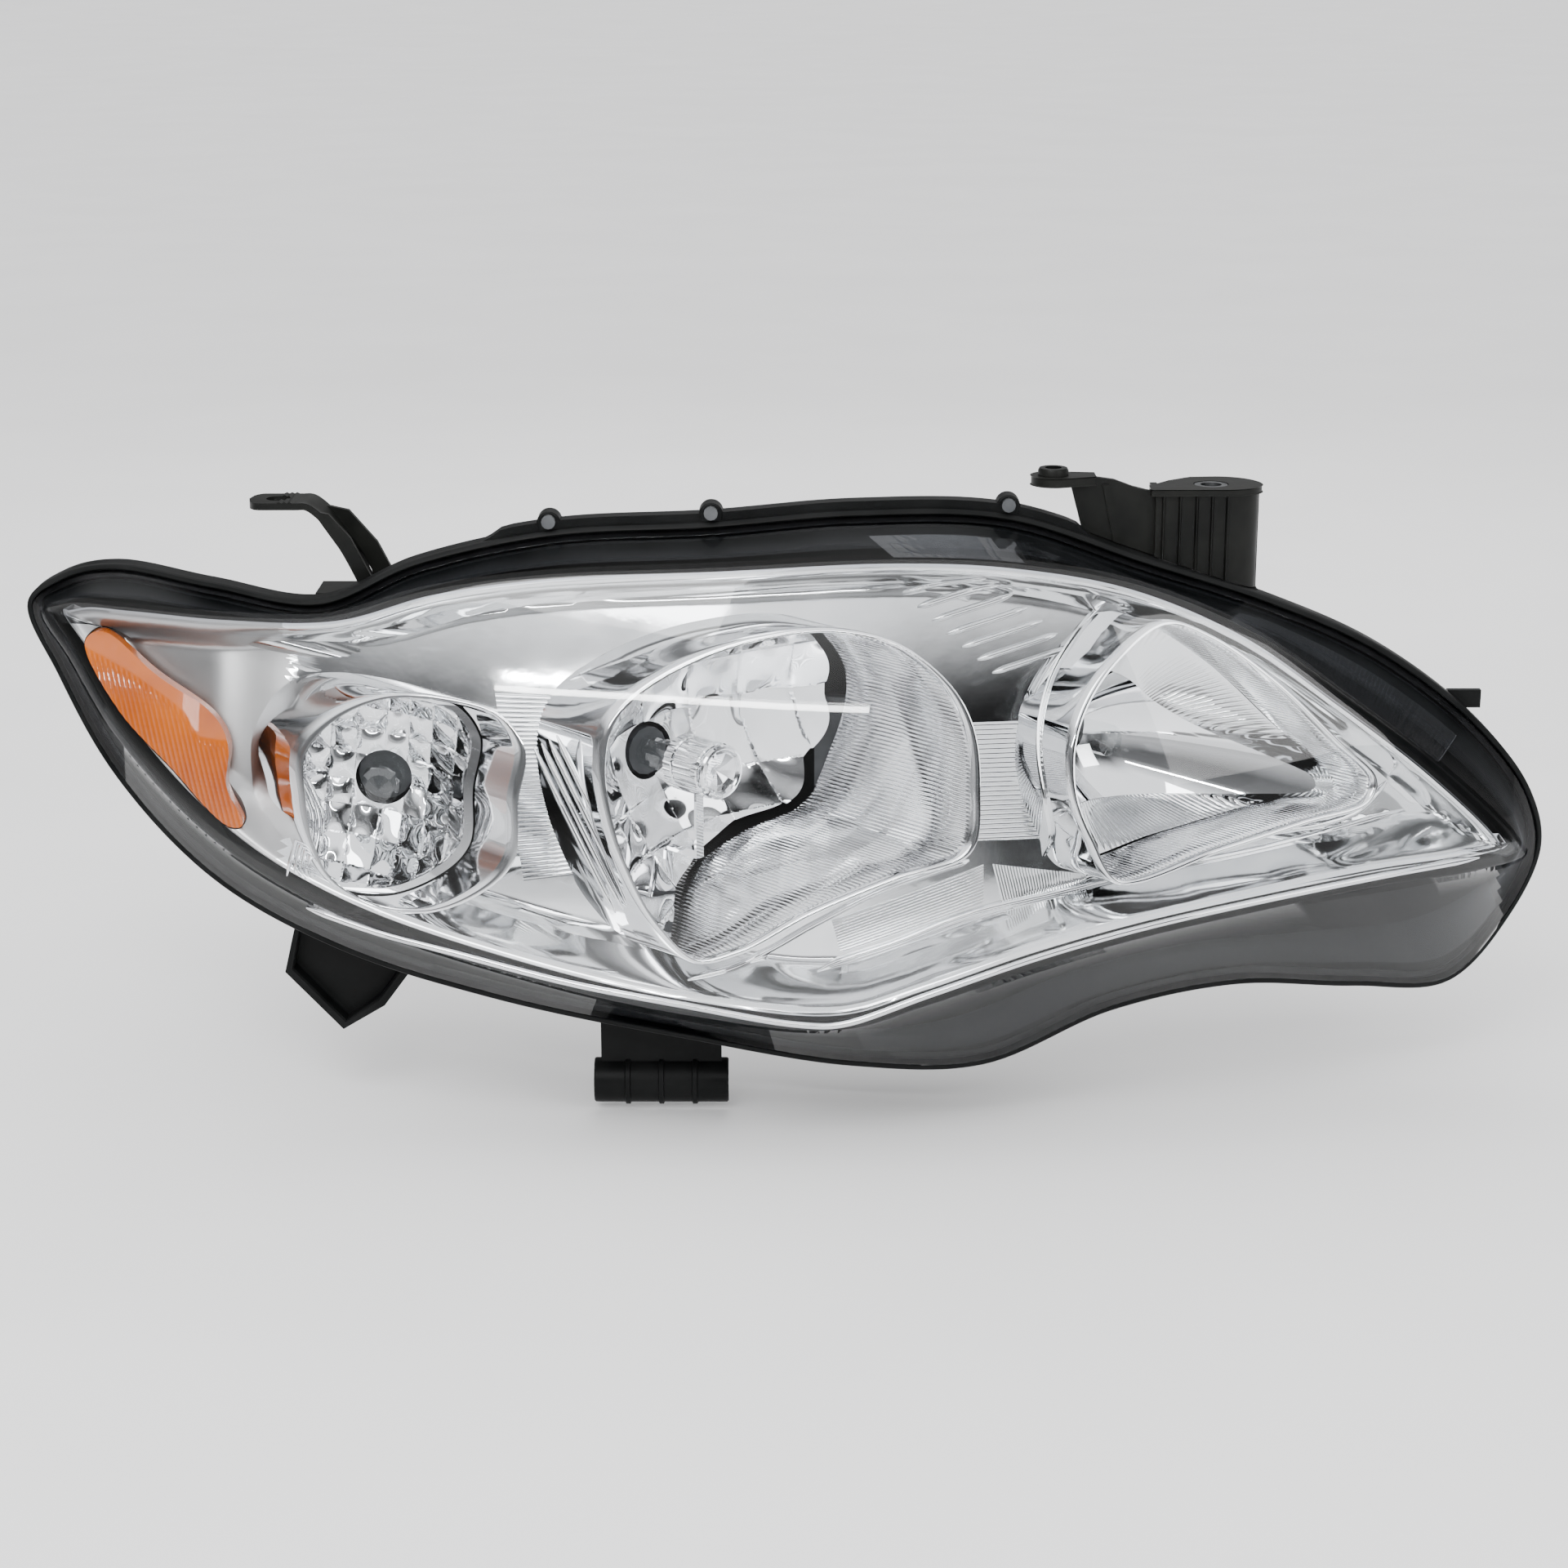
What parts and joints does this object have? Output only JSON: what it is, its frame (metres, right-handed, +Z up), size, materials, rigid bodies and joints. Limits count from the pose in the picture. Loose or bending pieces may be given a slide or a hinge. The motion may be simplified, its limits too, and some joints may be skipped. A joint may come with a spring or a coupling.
{
  "type": "car headlight assembly",
  "caption": "Right-hand car headlight: clear wrap-round lens, chrome bezel with three bowls, amber side reflector, black housing, brackets, aim screws and twist-lock bulbs.",
  "frame": {"origin": "on the top face of the upper inner bracket, beside its bolt hole", "axes": "+Z up, -Y is the way the beam shines (car's forward), +X towards the grille as seen from the front"},
  "size_m": [0.5081, 0.4962, 0.2685],
  "materials": {
    "black_plastic": "satin moulded",
    "clear_lens": "clear polished",
    "mirror_plastic": "aluminised mirror",
    "amber_plastic": "clear amber",
    "rubber": "matte",
    "steel": "zinc plated",
    "nylon": "natural nylon",
    "grey_plastic": "moulded",
    "bulb_glass": "clear"
  },
  "bodies": {
    "housing_assembly": {"housing": "black_plastic", "lens": "clear_lens", "lens_seal": "rubber", "bezel": "mirror_plastic", "turn_reflector": "mirror_plastic", "side_marker_reflector": "amber_plastic", "pivot_stud": "steel", "vertical_adjuster_case": "grey_plastic", "horizontal_adjuster_case": "grey_plastic", "low_beam_boot": "rubber", "high_beam_boot": "rubber", "upper_inner_bracket": "black_plastic", "upper_outer_bracket": "black_plastic", "inner_bracket_bush": "steel", "inner_bracket_screw_1": "steel", "inner_bracket_screw_2": "steel", "outer_bracket_screw_1": "steel", "outer_bracket_screw_2": "steel", "lens_screw_1": "steel", "lens_screw_2": "steel", "lens_screw_3": "steel", "breather_elbow": "rubber", "breather_cap": "rubber"},
    "swivel": {"pivot_socket": "nylon"},
    "reflector": {"main_reflector": "mirror_plastic", "bulb_shade": "mirror_plastic", "vertical_ball_socket": "nylon", "horizontal_ball_socket": "nylon"},
    "vertical_screw": {"vertical_adjuster_shaft": "nylon"},
    "vertical_knob": {"vertical_adjuster_knob": "nylon"},
    "horizontal_screw": {"horizontal_adjuster_shaft": "nylon"},
    "horizontal_knob": {"horizontal_adjuster_knob": "nylon"},
    "low_beam_bulb": {"low_beam_bulb_glass": "bulb_glass", "low_beam_bulb_base": "grey_plastic", "low_beam_bulb_seal": "rubber"},
    "high_beam_bulb": {"high_beam_bulb_glass": "bulb_glass", "high_beam_bulb_base": "grey_plastic", "high_beam_bulb_seal": "rubber"},
    "turn_bulb_unit": {"turn_bulb": "bulb_glass", "turn_socket": "grey_plastic", "turn_socket_seal": "rubber"},
    "marker_bulb_unit": {"marker_bulb": "bulb_glass", "marker_socket": "grey_plastic", "marker_socket_seal": "rubber"}
  },
  "joints": [
    {"name": "aim_swing", "type": "hinge", "parent": "housing_assembly", "child": "swivel", "pos_m": [-0.11729, 0.07656, -0.055], "axis": [0, 0, 1], "range_deg": [-1.5, 1.5]},
    {"name": "aim_tilt", "type": "hinge", "parent": "swivel", "child": "reflector", "pos_m": [-0.11729, 0.07656, -0.055], "axis": [0.7314, -0.682, 0], "range_deg": [-2, 2]},
    {"name": "vertical_screw_travel", "type": "slide", "parent": "housing_assembly", "child": "vertical_screw", "axis": [0.682, 0.7314, 0], "range_m": [-0.00337, 0.00337]},
    {"name": "vertical_knob_turn", "type": "hinge", "parent": "housing_assembly", "child": "vertical_knob", "pos_m": [-0.11729, 0.07656, -0.151], "axis": [0.682, 0.7314, 0], "range_deg": [-402.6, 402.6]},
    {"name": "horizontal_screw_travel", "type": "slide", "parent": "housing_assembly", "child": "horizontal_screw", "axis": [0.682, 0.7314, 0], "range_m": [-0.00332, 0.00332]},
    {"name": "horizontal_knob_turn", "type": "hinge", "parent": "housing_assembly", "child": "horizontal_knob", "pos_m": [-0.20944, 0.1625, -0.055], "axis": [0.682, 0.7314, 0], "range_deg": [-396.3, 396.3]},
    {"name": "low_beam_bulb_lock", "type": "hinge", "parent": "reflector", "child": "low_beam_bulb", "pos_m": [-0.19233, 0.13215, -0.106], "axis": [0, 1, 0], "range_deg": [0, 45]},
    {"name": "high_beam_bulb_lock", "type": "hinge", "parent": "reflector", "child": "high_beam_bulb", "pos_m": [-0.05233, 0.02015, -0.1], "axis": [0, 1, 0], "range_deg": [0, 45]},
    {"name": "turn_socket_lock", "type": "hinge", "parent": "housing_assembly", "child": "turn_bulb_unit", "pos_m": [-0.26011, 0.21521, -0.117], "axis": [0.682, 0.7314, 0], "range_deg": [0, 45]},
    {"name": "marker_socket_lock", "type": "hinge", "parent": "housing_assembly", "child": "marker_bulb_unit", "pos_m": [-0.30873, 0.29063, -0.087], "axis": [0.682, 0.7314, 0], "range_deg": [0, 45]}
  ],
  "couplings": [
    {"joint": "vertical_screw_travel", "follows": "aim_tilt", "m_per_rad": 0.096},
    {"joint": "vertical_knob_turn", "follows": "aim_tilt", "ratio": 201.06},
    {"joint": "horizontal_screw_travel", "follows": "aim_swing", "m_per_rad": -0.126},
    {"joint": "horizontal_knob_turn", "follows": "aim_swing", "ratio": -263.89}
  ]
}
